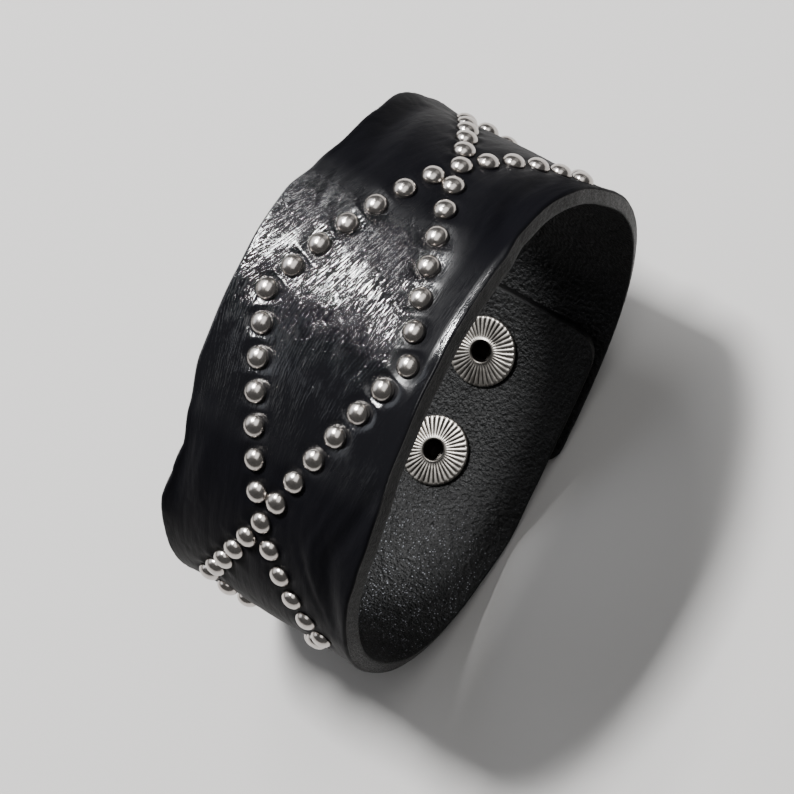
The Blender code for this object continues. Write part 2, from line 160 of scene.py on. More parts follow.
# Folds and creases of the grain face, in mm: along from the middle of the pattern, + towards +X, and across
# from the strap's middle line, + towards the far rim. depth is - for a ridge.
Fold = namedtuple("Fold", "along_start across_start along_end across_end width depth")
FOLD_TAIL = 0.35
FOLDS = (
    Fold(21.0, 9.1, 38.0, 11.9, 1.30, 0.60),
    Fold(23.0, 6.1, 35.0, 8.4, 1.50, -0.28),
    Fold(20.0, -11.6, 26.0, -9.8, 1.22, 0.56),
    Fold(26.0, -9.8, 38.0, -9.5, 1.22, 0.56),
    Fold(22.0, -6.9, 34.0, -5.8, 1.50, -0.28),
    Fold(-21.0, 11.6, -33.0, 12.8, 1.22, 0.60),
    Fold(-18.0, 9.1, -30.0, 9.1, 1.50, -0.24),
    Fold(-15.0, -15.2, -28.0, -11.3, 1.22, 0.52),
    Fold(-26.0, -10.7, -40.0, -13.7, 1.22, 0.52),
    Fold(-22.0, -8.4, -36.0, -9.5, 1.50, -0.28),
    Fold(-12.0, -1.5, -4.0, 3.8, 2.40, -0.20),
    Fold(4.0, -3.8, 12.0, 3.0, 2.40, -0.20),
    Fold(13.0, 11.4, 23.0, 8.6, 0.55, 0.13),
    Fold(14.0, 9.0, 26.0, 7.2, 0.50, 0.11),
    Fold(9.0, 9.0, 19.0, 11.2, 0.50, 0.10),
    Fold(17.0, 12.6, 27.0, 12.6, 0.55, 0.14),
    Fold(25.0, 12.8, 36.0, 13.4, 0.60, -0.15),
    Fold(-27.0, -6.4, -37.0, -10.6, 0.60, 0.13),
    Fold(-29.0, -7.6, -41.0, -12.4, 0.50, 0.10),
    Fold(-25.0, -9.0, -33.0, -10.2, 0.45, 0.10),
    Fold(-16.0, -12.6, -27.0, -9.2, 0.60, 0.14),
    Fold(-18.0, -9.6, -28.0, -7.4, 0.55, 0.11),
    Fold(16.0, -10.0, 26.0, -7.6, 0.50, 0.10),
    Fold(18.0, -13.0, 27.0, -11.2, 0.55, 0.12),
    Fold(-20.0, 9.8, -31.0, 10.6, 0.50, 0.10),
    Fold(-14.0, 12.6, -24.0, 12.2, 0.60, 0.12),
)

# Where the lines, the crinkles and the gloss of the grain face change: from a place, over a length and by a
# share. In mm, as for the folds.
Change = namedtuple("Change", "start length share", defaults=(1,))
LINE_TURN = Change(-14, 24, 0.25)
LINE_TURN_MIDDLE = -4
CRINKLE_LEAST = 0.45
CRINKLE_RISE = Change(-7, 9, 0.55)
CRINKLE_FALL = Change(12, 14, 0.80)
CRINKLE_LOWER_FALL = Change(16, 12, 0.25)
PLAIN_SIDE = Change(8.2, 2.0)
PLAIN_START = Change(-16, 6)
PLAIN_END = Change(1, 5)
PLAIN_SHARE = 0.85
BEYOND_SIDE = Change(1.8, 1.5)
BEYOND_START = Change(-2, 4)
BEYOND_END = Change(16, 8)
BEYOND_SHARE = 0.60
DULL_SIDE = Change(7.5, 3.5)
DULL_START = Change(-6, 8)
DULL_END = Change(13.3, 0.6)
DULL_SHARE = 0.93
GLOSS_FALL = Change(12, 8, 0.95)

# The studs and the snap, whose bases have more and narrower flutes here than the plain solids
STUD_SKIRT = 0.00025
STUD_SINK = 0.00012
STUD_TILT = 2.5
STUD_SEED = 5
SKIRT_SHARE = 0.97
DOME_START = -8
DOME_SWEEP = 94
STUD_SIDES = 40
DOME_STEPS = 12
SHARP_ANGLE = math.radians(40)
FLUTES = 38
FLUTE_SAMPLES = 10
FLUTE_DEPTH = 0.00016
GROOVE_SHARPNESS = 3
CAP_SIDES = 96
BASE_RADIUS = 0.0050
BARREL_RADIUS = 0.0019
THROUGH_RADIUS = 0.00142
BORE_RADIUS = 0.00172
TIP_RADIUS = 0.00030
BASE_HEIGHT = 0.00108
BASE_GAP = 0.00004
BASE_ROUND = 0.00032
THROUGH_ROUND = 0.00025
CAP_ROUND = 0.00024
CAP_SHOULDER = 0.00020
SOCKET_RADIUS = 0.00400
SOCKET_INNER_RADIUS = 0.00290
SOCKET_DEPTH = 0.00030

# Profiles of the snap: radius, height and depth share of the grooves. The rows of the base start at its back
# and those of the crown at the strap's outer face.
BASE_ROWS = (
    (0.00176, 0.00000, 0.0), (0.00188, 0.00005, 0.10), (0.00200, 0.00008, 0.35), (0.00240, 0.00009, 0.70),
    (0.00320, 0.00010, 1.0), (0.00400, 0.00015, 1.0), (0.00455, 0.00022, 1.0))
HEAD_ROWS = (
    (BARREL_RADIUS, 0.00028, 0.0), (0.00245, 0.00028, 0.0), (0.00262, 0.00042, 0.0),
    (0.00255, 0.00060, 0.0), (0.00225, 0.00070, 0.0), (0.00170, 0.00066, 0.0),
    (THROUGH_RADIUS, 0.00052, 0.0), (TIP_RADIUS, 0.00045, 0.0), (TIP_RADIUS, 0.00015, 0.0),
    (THROUGH_RADIUS, 0.00005, 0.0))
SOCKET_ROWS = (
    (SOCKET_INNER_RADIUS, 0.00052, 0.0), (0.00310, 0.00046, 0.0), (0.00385, 0.00050, 0.0),
    (SOCKET_RADIUS, 0.00066, 0.0))
CROWN_ROWS = (
    (0.00490, 0.00062, 0.0), (0.00440, 0.00078, 0.0), (0.00390, 0.00088, 0.0), (0.00300, 0.00090, 0.0),
    (0.00150, 0.00090, 0.0))

# Camera, as in the photo
CAMERA_PLACE = Vector((-0.03555, -0.13357, 0.37156))
CAMERA_AIM = Vector((-0.00172, 0.00140, 0.02500))
CAMERA_ROLL = math.radians(45.788)
CAMERA_LENS = 126.95
SENSOR_WIDTH = 36.0
NEAR_CLIP = 0.01

# Light and surroundings. A direction points from the cuff to the light.
Softbox = namedtuple("Softbox", "name direction distance size power colour")
WHITE = (1.0, 1.0, 1.0)
COOL = (0.86, 0.91, 1.0)
LIGHTS = (
    Softbox("key", (0.155, 0.425, 0.892), 0.90, (0.20, 0.10), 21.0, WHITE),
    Softbox("glint", (0.42, 0.475, 0.775), 0.90, (0.42, 0.05), 3.2, WHITE),
    Softbox("broad", (0.05, 0.76, 0.65), 1.30, (1.60, 0.40), 3.0, COOL),
    Softbox("window", (-0.10, 0.90, 0.40), 1.50, (1.80, 0.60), 3.6, WHITE),
    Softbox("overhead", (0.25, -0.20, 0.94), 0.90, (1.10, 0.45), 3.0, WHITE),
    Softbox("low_side", (0.90, -0.10, 0.35), 1.20, (0.60, 0.50), 0.4, WHITE),
)
CUFF_TOP = Vector((0.0, 0.0, 0.045))
WORLD_COLOUR = (1.0, 1.0, 1.0)
WORLD_STRENGTH = 0.10
FLOOR_COLOUR = (0.47, 0.46, 0.45)
FLOOR_REACH = 3.0


def make_outline():
    """Corners of the loop's outer face and the distance walked to each, once round."""
    turn = np.linspace(0.0, 2 * math.pi, OUTLINE_STEPS + 1)
    across, up = -np.sin(turn), -np.cos(turn)
    rise = np.where(up > 0, FRONT_RISE, BACK_DROP)
    power = 2 / np.where(up > 0, FRONT_FULLNESS, BACK_FULLNESS)
    z = rise * np.sign(up) * np.abs(up) ** power
    x = LOOP_LENGTH / 2 * np.sign(across) * np.abs(across) ** power + FRONT_SHIFT * z / FRONT_RISE
    corners = np.stack([x, z], axis=-1)
    steps = np.hypot(*np.diff(corners, axis=0).T)
    return corners, np.concatenate([[0.0], np.cumsum(steps)])


OUTLINE, WALKED = make_outline()
ROUND = WALKED[-1]
FRONT_MIDDLE = WALKED[OUTLINE_STEPS // 2]
PATTERN_MIDDLE = FRONT_MIDDLE + PATTERN_PLACE
INNER_END = POST_PLACE - INNER_END_MARGIN
OUTER_END = ROUND + POST_PLACE + OUTER_END_MARGIN


def smooth(value):
    """Smooth step from 0 to 1."""
    value = np.clip(value, 0.0, 1.0)
    return value * value * (3 - 2 * value)


def changed(place, change):
    """How much of a change has come about at places."""
    return change.share * smooth((place - change.start) / change.length)


def on_outline(walked):
    """Points of the loop's outer face after walked distances."""
    walked = walked % ROUND
    across, up = (np.interp(walked, WALKED, OUTLINE[:, axis]) for axis in (0, 1))
    return np.stack([across, up], axis=-1)


def normals(before, after):
    """Unit normals of short steps along the loop, away from the wrist."""
    tangent = after - before
    tangent = tangent / np.linalg.norm(tangent, axis=-1, keepdims=True)
    return np.stack([-tangent[..., 1], tangent[..., 0]], axis=-1)


def layer_offset(walked):
    """How far the strap has moved out to pass under its inner end, which it nears again beyond the cap."""
    clear = ROUND + INNER_END - SEAT_GAP
    tuck_start = ROUND + POST_PLACE + CAP_RADIUS
    tucked = END_TUCK * smooth((walked - tuck_start) / (OUTER_END - tuck_start))
    return (LEATHER + LAYER_GAP) * smooth((walked - clear + LAYER_RAMP) / LAYER_RAMP) - tucked


def on_strap(walked):
    """Points of the strap's own outer face, and the unit normals there, after walked distances."""
    walked = np.asarray(walked, dtype=float)
    places = [walked + step * TANGENT_STEP for step in (-2, -1, 0, 1, 2)]
    outline = [on_outline(place) for place in places]
    before, middle, after = (
        outline[i] + normals(outline[i - 1], outline[i + 1]) * layer_offset(places[i])[..., None]
        for i in (1, 2, 3))
    return middle, normals(before, after)


def end_inset(walked):
    """How far the rims pull in at the rounded corners of the two ends."""
    inset = np.zeros_like(walked)
    ends = ((INNER_CORNER_RADIUS, walked - INNER_END), (OUTER_CORNER_RADIUS, OUTER_END - walked))
    for radius, from_end in ends:
        short = np.clip(radius - from_end, 0.0, radius)
        inset += radius - np.sqrt(radius ** 2 - short ** 2)
    return inset


def rim_values(walked):
    """Near width, near lift, far width and far lift at walked distances, eased between the table's rows."""
    table = np.array(RIMS)
    along = ((walked - PATTERN_MIDDLE) / ROUND + 0.5) % 1.0 - 0.5
    high = np.clip(np.searchsorted(table[:, 0], along), 1, len(table) - 1)
    low = high - 1
    mix = smooth((along - table[low, 0]) / (table[high, 0] - table[low, 0]))[..., None]
    return np.moveaxis(table[low, 1:] * (1 - mix) + table[high, 1:] * mix, -1, 0)


def rim_lift(walked, side):
    """How far the leather flares out or droops near its two rims."""
    _, near_lift, _, far_lift = rim_values(walked)
    reach = smooth((np.abs(side) / (BAND_WIDTH / 2) - 1 + RIM_REACH) / RIM_REACH)
    return np.where(side > 0, far_lift, near_lift) * LEATHER * reach


def across_places(rows, shares, round_off):
    """Side of points at shares of the half width in each row, short of the rims by a rounding."""
    near_width, _, far_width, _ = rim_values(rows)
    widening = np.where(shares > 0, far_width[:, None], near_width[:, None])
    half = BAND_WIDTH / 2 * (1 + widening * np.abs(shares) ** WIDENING_POWER)
    return shares * (half - end_inset(rows)[:, None] - round_off)


def stud_places():
    """Walked distance and side of every stud: a diamond of crossing lines and a kite at each end."""
    places = []
    for step in range(-DIAMOND_STEPS, DIAMOND_STEPS + 1):
        side = DIAMOND_REACH * (1 - abs(step) / DIAMOND_STEPS)
        places.append((step * DIAMOND_ALONG, side))
        if abs(step) < DIAMOND_STEPS:
            places.append((step * DIAMOND_ALONG, -side))
    crossing = DIAMOND_STEPS * DIAMOND_ALONG
    for end in (-1, 1):
        for step in range(1, KITE_STEPS + RETURN_STEPS + 1):
            out = min(step, KITE_STEPS)
            back = step - out
            along = crossing + out * KITE_ALONG + back * RETURN_ALONG
            side = KITE_REACH * out / KITE_STEPS - back * RETURN_ACROSS
            places += [(end * along, side), (end * along, -side)]
    return [(PATTERN_MIDDLE + along, PATTERN_SIDE + side) for along, side in places]


STUDS = stud_places()


def stud_distance(walked, side):
    """Distance from places on the strap to the nearest stud."""
    nearest = np.full(np.broadcast(walked, side).shape, 1.0)
    for place, stud_side in STUDS:
        nearest = np.minimum(nearest, np.hypot(walked - place, side - stud_side))
    return nearest


def fold_depth(walked, side):
    """Depth of the folds and creases in the grain face, less for ridges."""
    along = (walked - PATTERN_MIDDLE) * MM
    across = side * MM
    depth = np.zeros(np.broadcast(walked, side).shape)
    for fold in FOLDS:
        line = (fold.along_end - fold.along_start, fold.across_end - fold.across_start)
        square = line[0] ** 2 + line[1] ** 2
        share = ((along - fold.along_start) * line[0] + (across - fold.across_start) * line[1]) / square
        share = np.clip(share, 0.0, 1.0)
        across_gap = across - fold.across_start - share * line[1]
        gap = np.hypot(along - fold.along_start - share * line[0], across_gap)
        swell = FOLD_TAIL + (1 - FOLD_TAIL) * np.sin(math.pi * share)
        depth += fold.depth / MM * swell * np.exp(-(gap / fold.width) ** 2)
    return depth


def relief(walked, side):
    """Height of the grain face over its smooth form, without the dimples and the fine wrinkles."""
    nearest = stud_distance(walked, side)
    valley = ROW_VALLEY_DEPTH * np.exp(-(nearest / ROW_VALLEY_WIDTH) ** 2)
    return rim_lift(walked, side) - fold_depth(walked, side) - valley


def soft_noise(along, across, along_size, across_size, seed):
    """Noise with features of a given length and width, in the units of the two coordinates."""
    along, across = np.broadcast_arrays(along, across)
    places = zip((along / along_size).ravel(), (across / across_size).ravel())
    return np.array([noise.noise(Vector((a, b, seed))) for a, b in places]).reshape(along.shape)


def crinkle_place(walked, side):
    """Place along and across the fine lines of the grain: they turn towards the near rim and close in on the
    two crossings of the rows of studs."""
    along = (walked - PATTERN_MIDDLE) * MM
    across = (side - PATTERN_SIDE) * MM
    closing_in = 1 + LINE_GATHER * np.minimum(np.abs(along), LINE_GATHER_END)
    turned_away = changed(along, LINE_TURN) * (along - LINE_TURN_MIDDLE)
    return along, across * closing_in + turned_away


def crinkle_strength(walked, side):
    """How strongly the leather is crinkled: fully where it bends upwards, little by the near rim's middle."""
    along = (walked - PATTERN_MIDDLE) * MM
    across = side * MM
    strength = CRINKLE_LEAST + changed(along, CRINKLE_RISE) - changed(along, CRINKLE_FALL)
    strength = strength - changed(-along, CRINKLE_LOWER_FALL)
    plain = changed(-across, PLAIN_SIDE) * changed(along, PLAIN_START) * (1 - changed(along, PLAIN_END))
    row = -DIAMOND_REACH * MM * (1 - np.abs(along) / (DIAMOND_STEPS * DIAMOND_ALONG * MM))
    beyond = smooth((row - BEYOND_SIDE.start - across) / BEYOND_SIDE.length)
    beyond = beyond * changed(along, BEYOND_START) * (1 - changed(along, BEYOND_END))
    return strength * (1 - PLAIN_SHARE * plain) * (1 - BEYOND_SHARE * beyond)


def finish_gloss(walked, side):
    """How much of the finish's gloss is left: all of it over the middle, little beside the near rim and
    towards the two ends."""
    along = (walked - PATTERN_MIDDLE) * MM
    across = side * MM
    beside = changed(-across, DULL_SIDE) * changed(along, DULL_START) * (1 - changed(-across, DULL_END))
    return (1 - changed(np.abs(along), GLOSS_FALL)) * (1 - DULL_SHARE * beside)


def grain_height(walked, side):
    """Height of the finished grain face over the strap's smooth form."""
    nearest = stud_distance(walked, side)
    dimple = DIMPLE_DEPTH * np.exp(-(np.maximum(nearest - STUD_RADIUS, 0.0) / DIMPLE_WIDTH) ** 2)
    creased = (np.abs(walked - PATTERN_MIDDLE) - CREASED_START) / CREASED_LENGTH
    creased = np.clip(creased, LEAST_CREASED, 1.0)
    line, beside = crinkle_place(walked, side)
    swell = soft_noise(line, beside, *SWELL) * SWELL_HEIGHT
    wrinkle = 1 - np.abs(soft_noise(line, beside, *WRINKLE)) * 2
    wrinkle = np.clip(wrinkle, 0.0, 1.0) ** WRINKLE_SHARPNESS
    return relief(walked, side) + GRAIN_RISE - dimple + swell - wrinkle * creased * WRINKLE_DEPTH


def to_world(points):
    """Points of the upright loop, leaned over and set down where the solids lie, pressed flat at Z = 0."""
    turn = np.array(Matrix.Rotation(-LEAN, 3, "Y"))
    points = points @ turn.T + np.array(LEANED_TO)
    points[..., 2] = np.maximum(points[..., 2], 0.0)
    return points


def seat_frame(walked, out, side=0.0):
    """Frame on the strap whose Z points away from the wrist, at a height over the outer face."""
    point, normal = on_strap(np.array([walked]))
    out_axis = Vector((normal[0, 0], 0.0, normal[0, 1]))
    side_axis = Vector((0.0, 1.0, 0.0))
    seat = Matrix((side_axis.cross(out_axis), side_axis, out_axis)).transposed().to_4x4()
    seat.translation = Vector((point[0, 0], side, point[0, 1])) + out_axis * out
    return Matrix.Translation(LEANED_TO) @ Matrix.Rotation(-LEAN, 4, "Y") @ seat


def strap_rows():
    """Walked distances of the strap's rows: fine over the front, coarse behind, close at the rounded ends."""
    corner = np.array(END_ROW_SHARES)
    start, end = PATTERN_MIDDLE - FINE_REACH, PATTERN_MIDDLE + FINE_REACH
    inner = INNER_END + corner * INNER_CORNER_RADIUS
    outer = (OUTER_END - corner * OUTER_CORNER_RADIUS)[::-1]

    def even(low, high, step, closed):
        count = max(round((high - low) / step), 1)
        return np.linspace(low, high, count + 1)[:None if closed else -1]

    return np.concatenate([
        inner, even(INNER_END + INNER_CORNER_RADIUS, start, COARSE_STEP, False),
        even(start, end, FINE_STEP, False),
        even(end, OUTER_END - OUTER_CORNER_RADIUS, COARSE_STEP, True), outer])


def strap_rings(rows):
    """Side and height of every point of the closed ring at each row, and each face's kind and point count."""
    walked = rows[:, None]
    near = -across_places(rows, np.array([-1.0]), 0.0)[:, 0]
    far = across_places(rows, np.array([1.0]), 0.0)[:, 0]
    grain_side = across_places(rows, np.linspace(-1.0, 1.0, GRAIN_COLUMNS), CORNER_ROUND + EDGE_SLANT)
    from_rim = np.minimum(grain_side - grain_side[:, :1], grain_side[:, -1:] - grain_side)
    lip = RIM_LIP * np.clip(1 - from_rim / RIM_LIP_WIDTH, 0.0, 1.0) ** 2
    grain = grain_height(np.broadcast_to(walked, grain_side.shape), grain_side) + lip
    flesh_side = across_places(rows, np.linspace(1.0, -1.0, FLESH_COLUMNS), INNER_ROUND)
    nap = soft_noise(walked, flesh_side, *NAP) * NAP_HEIGHT
    flesh = rim_lift(walked, flesh_side) - LEATHER + nap
    far_edge = cut_edge(rows, far, grain[:, -1], flesh[:, 0], 1.0)
    near_edge = cut_edge(rows, near, grain[:, 0], flesh[:, -1], -1.0)
    side = np.concatenate([grain_side, far_edge[0], flesh_side, near_edge[0][:, ::-1]], axis=1)
    height = np.concatenate([grain, far_edge[1], flesh, near_edge[1][:, ::-1]], axis=1)
    edge = far_edge[0].shape[1]
    return side, height, (("grain", GRAIN_COLUMNS), ("edge", edge), ("flesh", FLESH_COLUMNS), ("edge", edge))


def cut_edge(rows, half, top, bottom, sign):
    """Side and height of points down one cut edge: rounded outer corner, cut face, small inner corner."""
    sides, heights = [], []
    for step in range(1, CORNER_STEPS + 1):
        angle = math.pi / 2 * step / CORNER_STEPS
        sides.append(half - EDGE_SLANT - CORNER_ROUND * (1 - math.sin(angle)))
        heights.append(top - CORNER_ROUND * (1 - math.cos(angle)))
    low = bottom + INNER_ROUND
    high = top - CORNER_ROUND
    for step in range(1, CUT_STEPS + 1):
        share = step / (CUT_STEPS + 1)
        rough = soft_noise(rows, np.full(len(rows), share * LEATHER * sign), *CUT)
        sides.append(half - EDGE_SLANT * (1 - share) + rough * CUT_ROUGHNESS)
        heights.append(high + (low - high) * share)
    for angle in (0.0, math.pi / 4):
        sides.append(half - INNER_ROUND * (1 - math.cos(angle)))
        heights.append(low - INNER_ROUND * math.sin(angle))
    return np.stack(sides, axis=1) * sign, np.stack(heights, axis=1)


def make_strap(materials):
    """The leather strap as one closed solid: grain face, cut edges and flesh side, with its snap holes."""
    rows = strap_rows()
    side, height, faces = strap_rings(rows)
    middle, normal = on_strap(rows)
    place = middle[:, None, :] + normal[:, None, :] * height[:, :, None]
    points = to_world(np.stack([place[..., 0], side, place[..., 1]], axis=-1))
    count, size = side.shape
    slots = np.concatenate([np.full(columns, FACE_KINDS[kind]) for kind, columns in faces])
    ring = np.arange(size)
    ahead = (ring + 1) % size
    slots[GRAIN_COLUMNS:GRAIN_COLUMNS + CORNER_STEPS - 1] = FACE_KINDS["grain"]
    slots[size - CORNER_STEPS + 1:] = FACE_KINDS["grain"]
    quad_kinds = np.where(slots == slots[ahead], slots, FACE_KINDS["edge"])
    base = np.arange(count - 1)[:, None] * size
    corners = (base + ring, base + ahead, base + size + ahead, base + size + ring)
    quads = np.stack([np.broadcast_to(corner, (count - 1, size)) for corner in corners], axis=-1)
    ends = end_faces(0, side[0], faces) + end_faces((count - 1) * size, side[-1], faces)
    mesh = bpy.data.meshes.new("leather_strap")
    mesh.from_pydata(points.reshape(-1, 3).tolist(), [], quads.reshape(-1, 4).tolist() + ends)
    for material in materials:
        mesh.materials.append(material)
    kinds = np.tile(quad_kinds, count - 1).tolist() + [FACE_KINDS["edge"]] * len(ends)
    mesh.polygons.foreach_set("material_index", kinds)
    walked = np.broadcast_to(rows[:, None], side.shape)
    line, beside = crinkle_place(walked, side)
    add_marks(mesh, "strap_place", (walked * MM, side * MM, height * MM))
    add_marks(mesh, "crinkle_place", (line, beside, height * MM))
    add_mark(mesh, "crinkle_strength", crinkle_strength(walked, side))
    add_mark(mesh, "finish_gloss", finish_gloss(walked, side))
    face_outward(mesh)
    strap = add_piece("leather_strap", mesh)
    cut_holes(strap)
    strap.data.shade_smooth()
    return strap


def face_outward(mesh):
    """Turn every face of a closed mesh outwards."""
    outward = bmesh.new()
    outward.from_mesh(mesh)
    bmesh.ops.recalc_face_normals(outward, faces=outward.faces)
    outward.to_mesh(mesh)
    outward.free()


def add_marks(mesh, name, values):
    """Keep three values of every point, for the materials."""
    mark = mesh.attributes.new(name, "FLOAT_VECTOR", "POINT")
    mark.data.foreach_set("vector", np.stack(values, axis=-1).reshape(-1).astype(np.float32))


def add_mark(mesh, name, values):
    """Keep one value of every point, for the materials."""
    mark = mesh.attributes.new(name, "FLOAT", "POINT")
    mark.data.foreach_set("value", values.reshape(-1).astype(np.float32))


def end_faces(start, side, faces):
    """Triangles that close one end of the strap between its grain row and its flesh row."""
    edge = faces[1][1]
    ring = list(range(len(side)))
    grain, far = ring[:GRAIN_COLUMNS], ring[GRAIN_COLUMNS:GRAIN_COLUMNS + edge]
    flesh, near = ring[GRAIN_COLUMNS + edge:-edge], ring[-edge:]
    upper = near[edge // 2:] + grain + far[:edge // 2 + 1]
    lower = list(reversed(far[edge // 2:] + flesh + near[:edge // 2 + 1]))
    triangles = []
    high, low = 0, 0
    while high < len(upper) - 1 or low < len(lower) - 1:
        take_upper = low == len(lower) - 1 or (
            high < len(upper) - 1 and side[upper[high + 1]] <= side[lower[low + 1]])
        corner = upper[high + 1] if take_upper else lower[low + 1]
        triangle = (upper[high], corner, lower[low])
        if len(set(triangle)) == 3:
            triangles.append(tuple(start + point for point in triangle))
        if take_upper:
            high += 1
        else:
            low += 1
    return triangles


def cut_holes(strap):
    """Cut the round holes that the snap's barrels pass through."""
    cutters = bmesh.new()
    for walked, out in ((POST_PLACE, 0.0), (POST_PLACE + POST_PITCH, 0.0), (POST_PLACE, LEATHER + LAYER_GAP)):
        bmesh.ops.create_cone(
            cutters, cap_ends=True, segments=HOLE_SIDES, radius1=BARREL_RADIUS + HOLE_PLAY,
            radius2=BARREL_RADIUS + HOLE_PLAY, depth=LEATHER + LAYER_GAP,
            matrix=seat_frame(walked, out - LEATHER / 2))
    mesh = bpy.data.meshes.new("hole_cutters")
    cutters.to_mesh(mesh)
    cutters.free()
    cutter = bpy.data.objects.new("hole_cutters", mesh)
    bpy.context.scene.collection.objects.link(cutter)
    cut = strap.modifiers.new("holes", "BOOLEAN")
    cut.object = cutter
    cut.operation = "DIFFERENCE"
    cut.solver = "EXACT"
    bpy.context.view_layer.update()
    evaluated = strap.evaluated_get(bpy.context.evaluated_depsgraph_get())
    finished = bpy.data.meshes.new_from_object(evaluated)
    strap.modifiers.clear()
    plain = strap.data
    strap.data = finished
    finished.name = "leather_strap"
    bpy.data.meshes.remove(plain)
    bpy.data.objects.remove(cutter)
    bpy.data.meshes.remove(mesh)


def add_piece(name, mesh, place=None):
    """New object of the scene that shows a mesh and rides on the part's one body."""
    piece = bpy.data.objects.new(name, mesh)
    if place is not None:
        piece.matrix_world = place
    bpy.context.scene.collection.objects.link(piece)
    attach(piece, "root")
    return piece


def turned(name, profile, sides, material, flute=None, closed=True):
    """Mesh turned round Z from rows of radius, height and groove share: a ring with a hole, or closed at its
    two ends."""
    mesh = bmesh.new()
    groove_tarnish_and_bore_shade = mesh.verts.layers.float.new("groove")
    rings = []
    for radius, height, groove in profile:
        ring = []
        for step in range(sides):
            angle = 2 * math.pi * step / sides
            low = groove * flute(angle) if flute else 0.0
            place = (radius * math.cos(angle), radius * math.sin(angle), height + low * FLUTE_DEPTH)
            vertex = mesh.verts.new(place)
            # The tint is the groove's share, for tarnish in the grooves, but full at points within the bore's
            # radius: painted shade on the hole's lip, down the bore and over the head's web, and a darkened
            # middle of the cap's crown.
            vertex[groove_tarnish_and_bore_shade] = low if radius > BORE_RADIUS else 1.0
            ring.append(vertex)
        rings.append(ring)
    for ring, after in zip(rings, rings[1:] + ([] if closed else rings[:1])):
        for step in range(sides):
            ahead = (step + 1) % sides
            mesh.faces.new((ring[step], ring[ahead], after[ahead], after[step]))
    if closed:
        mesh.faces.new(rings[0])
        mesh.faces.new(rings[-1])
    bmesh.ops.recalc_face_normals(mesh, faces=mesh.faces)
    data = bpy.data.meshes.new(name)
    mesh.to_mesh(data)
    mesh.free()
    data.shade_smooth()
    data.set_sharp_from_angle(angle=SHARP_ANGLE)
    data.materials.append(material)
    return data


def arc(middle_radius, middle_height, size, start, end, steps, groove=0.0):
    """Rows of a profile along an arc, its angles in degrees from the outward radius towards +Z."""
    rows = []
    for step in range(steps + 1):
        angle = math.radians(start + (end - start) * step / steps)
        rows.append((middle_radius + size * math.cos(angle), middle_height + size * math.sin(angle), groove))
    return rows


def make_studs(material):
    """Every domed stud, seated in its dimple."""
    dome = [(STUD_RADIUS * SKIRT_SHARE, -STUD_SKIRT, 0.0)]
    for step in range(DOME_STEPS):
        angle = math.radians(DOME_START + DOME_SWEEP * step / (DOME_STEPS - 1))
        dome.append((STUD_RADIUS * math.cos(angle), STUD_HEIGHT * math.sin(angle), 0.0))
    mesh = turned("domed_stud", dome, STUD_SIDES, material)
    chance = random.Random(STUD_SEED)
    for number, (walked, side) in enumerate(STUDS, start=1):
        height = float(relief(np.array([walked]), np.array([side]))[0])
        seat = seat_frame(walked, height + SEAT_GAP - STUD_SINK, side)
        tilt = Matrix.Rotation(math.radians(chance.uniform(-STUD_TILT, STUD_TILT)), 4, "X")
        tilt = tilt @ Matrix.Rotation(math.radians(chance.uniform(-STUD_TILT, STUD_TILT)), 4, "Y")
        stud = add_piece(f"domed_stud_{number:02d}", mesh, seat @ tilt)
        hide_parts(f"stud_{number:02d}")


def narrow_groove(angle):
    """Depth share of the radial grooves of a snap base, narrow between broad ribs."""
    return (0.5 + 0.5 * math.cos(FLUTES * angle)) ** GROOVE_SHARPNESS


def make_posts(material):
    """The two snap posts, each with its fluted base inside the loop, its barrel and its head outside."""
    back = -LEATHER - BASE_HEIGHT
    under = -LEATHER - BASE_GAP
    profile = arc(THROUGH_RADIUS + THROUGH_ROUND, back + 0.00020, THROUGH_ROUND, 180, 270, 4)
    profile += [(radius, back + height, groove) for radius, height, groove in BASE_ROWS]
    profile += arc(BASE_RADIUS - BASE_ROUND, back + 0.00056, BASE_ROUND, -80, 60, 6, 0.55)
    profile += [(BASE_RADIUS - 0.00040, under, 0.0), (BARREL_RADIUS, under, 0.0), *HEAD_ROWS]
    mesh = turned("snap_post", profile, FLUTES * FLUTE_SAMPLES, material, flute=narrow_groove, closed=False)
    for name, walked in (("snap_post_fastened", POST_PLACE), ("snap_post_spare", POST_PLACE + POST_PITCH)):
        post = add_piece(name + "_fluted", mesh, seat_frame(walked, 0.0))
        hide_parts(name)


def make_cap(material):
    """The cap outside the outer layer, with its barrel and the socket that closes over the post's head."""
    outer = LEATHER + LAYER_GAP + SEAT_GAP
    inside = LAYER_GAP - SEAT_GAP
    profile = [(SOCKET_INNER_RADIUS, inside - SOCKET_DEPTH, 0.0), *SOCKET_ROWS]
    profile += [
        (SOCKET_RADIUS, inside, 0.0), (BARREL_RADIUS, inside, 0.0), (BARREL_RADIUS, outer, 0.0),
        (CAP_RADIUS - CAP_SHOULDER, outer, 0.0)]
    profile += arc(CAP_RADIUS - CAP_ROUND, outer + CAP_ROUND, CAP_ROUND, -60, 60, 6)
    profile += [(radius, outer + height, groove) for radius, height, groove in CROWN_ROWS]
    mesh = turned("snap_cap", profile, CAP_SIDES, material)
    cap = add_piece("snap_cap_domed", mesh, seat_frame(POST_PLACE, 0.0))
    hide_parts("snap_cap")


